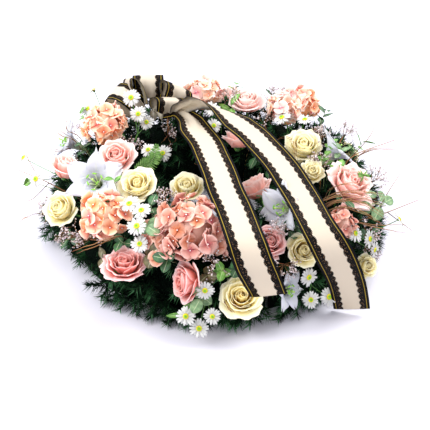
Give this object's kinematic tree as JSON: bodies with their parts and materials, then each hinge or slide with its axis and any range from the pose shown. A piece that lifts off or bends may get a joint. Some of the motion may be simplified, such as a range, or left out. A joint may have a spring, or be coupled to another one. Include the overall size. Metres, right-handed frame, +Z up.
{
  "type": "memorial wreath",
  "caption": "Round memorial wreath that lies flat: a straw ring under artificial fir with pink and cream roses, peach hydrangeas, white lilies, daisies and a lace-edged cream ribbon with a bow.",
  "frame": {"origin": "on the floor, under the middle of the box of the whole wreath", "axes": "+Z up, along the axis of the ring; +Y from the ribbon ends at the front towards the bow at the back; +X to the right"},
  "size_m": [0.8462, 0.804, 0.2909],
  "materials": {
    "straw": "dry straw, matt",
    "wire": "green coated steel wire",
    "fir": "cut PVC foil needles, dark green",
    "pink_rose": "dyed polyester petals, matt",
    "cream_rose": "dyed polyester petals, matt",
    "hydrangea": "dyed polyester florets, matt",
    "lily": "white polyester petals, soft sheen",
    "daisy": "white polyester petals, yellow eyes",
    "ribbon": "satin ribbon with printed lace borders and a gold line",
    "dried_grass": "dried grass and twigs",
    "eucalyptus": "grey-green foil leaves",
    "limonium": "tiny pale flowers on brown stalks"
  },
  "bodies": {
    "root": {"straw_ring": "straw", "binding_wire": "wire", "ribbon_wire": "wire", "fir_branch_1": "fir", "fir_branch_2": "fir", "fir_branch_3": "fir", "fir_branch_4": "fir", "fir_branch_5": "fir", "fir_branch_6": "fir", "fir_branch_7": "fir", "fir_branch_8": "fir", "rose_pink_1": "pink_rose", "rose_pink_2": "pink_rose", "rose_pink_3": "pink_rose", "rose_pink_4": "pink_rose", "rose_pink_5": "pink_rose", "rose_pink_6": "pink_rose", "rose_pink_7": "pink_rose", "rose_pink_8": "pink_rose", "rose_pink_9": "pink_rose", "rose_pink_10": "pink_rose", "rose_cream_1": "cream_rose", "rose_cream_2": "cream_rose", "rose_cream_3": "cream_rose", "rose_cream_4": "cream_rose", "rose_cream_5": "cream_rose", "rose_cream_6": "cream_rose", "rose_cream_7": "cream_rose", "rose_cream_8": "cream_rose", "rose_cream_9": "cream_rose", "hydrangea_1": "hydrangea", "hydrangea_2": "hydrangea", "hydrangea_3": "hydrangea", "hydrangea_4": "hydrangea", "hydrangea_5": "hydrangea", "hydrangea_6": "hydrangea", "hydrangea_7": "hydrangea", "lily_1": "lily", "lily_2": "lily", "lily_3": "lily", "lily_4": "lily", "lily_5": "lily", "lily_6": "lily", "daisy_spray_1": "daisy", "daisy_spray_2": "daisy", "daisy_spray_3": "daisy", "daisy_spray_4": "daisy", "daisy_spray_5": "daisy", "daisy_spray_6": "daisy", "daisy_spray_7": "daisy", "daisy_spray_8": "daisy", "daisy_spray_9": "daisy", "ribbon_bow": "ribbon", "ribbon_tail_left": "ribbon", "ribbon_tail_right": "ribbon", "grass_twig_1": "dried_grass", "grass_twig_2": "dried_grass", "grass_twig_3": "dried_grass", "eucalyptus": "eucalyptus", "limonium": "limonium"}
  },
  "joints": []
}
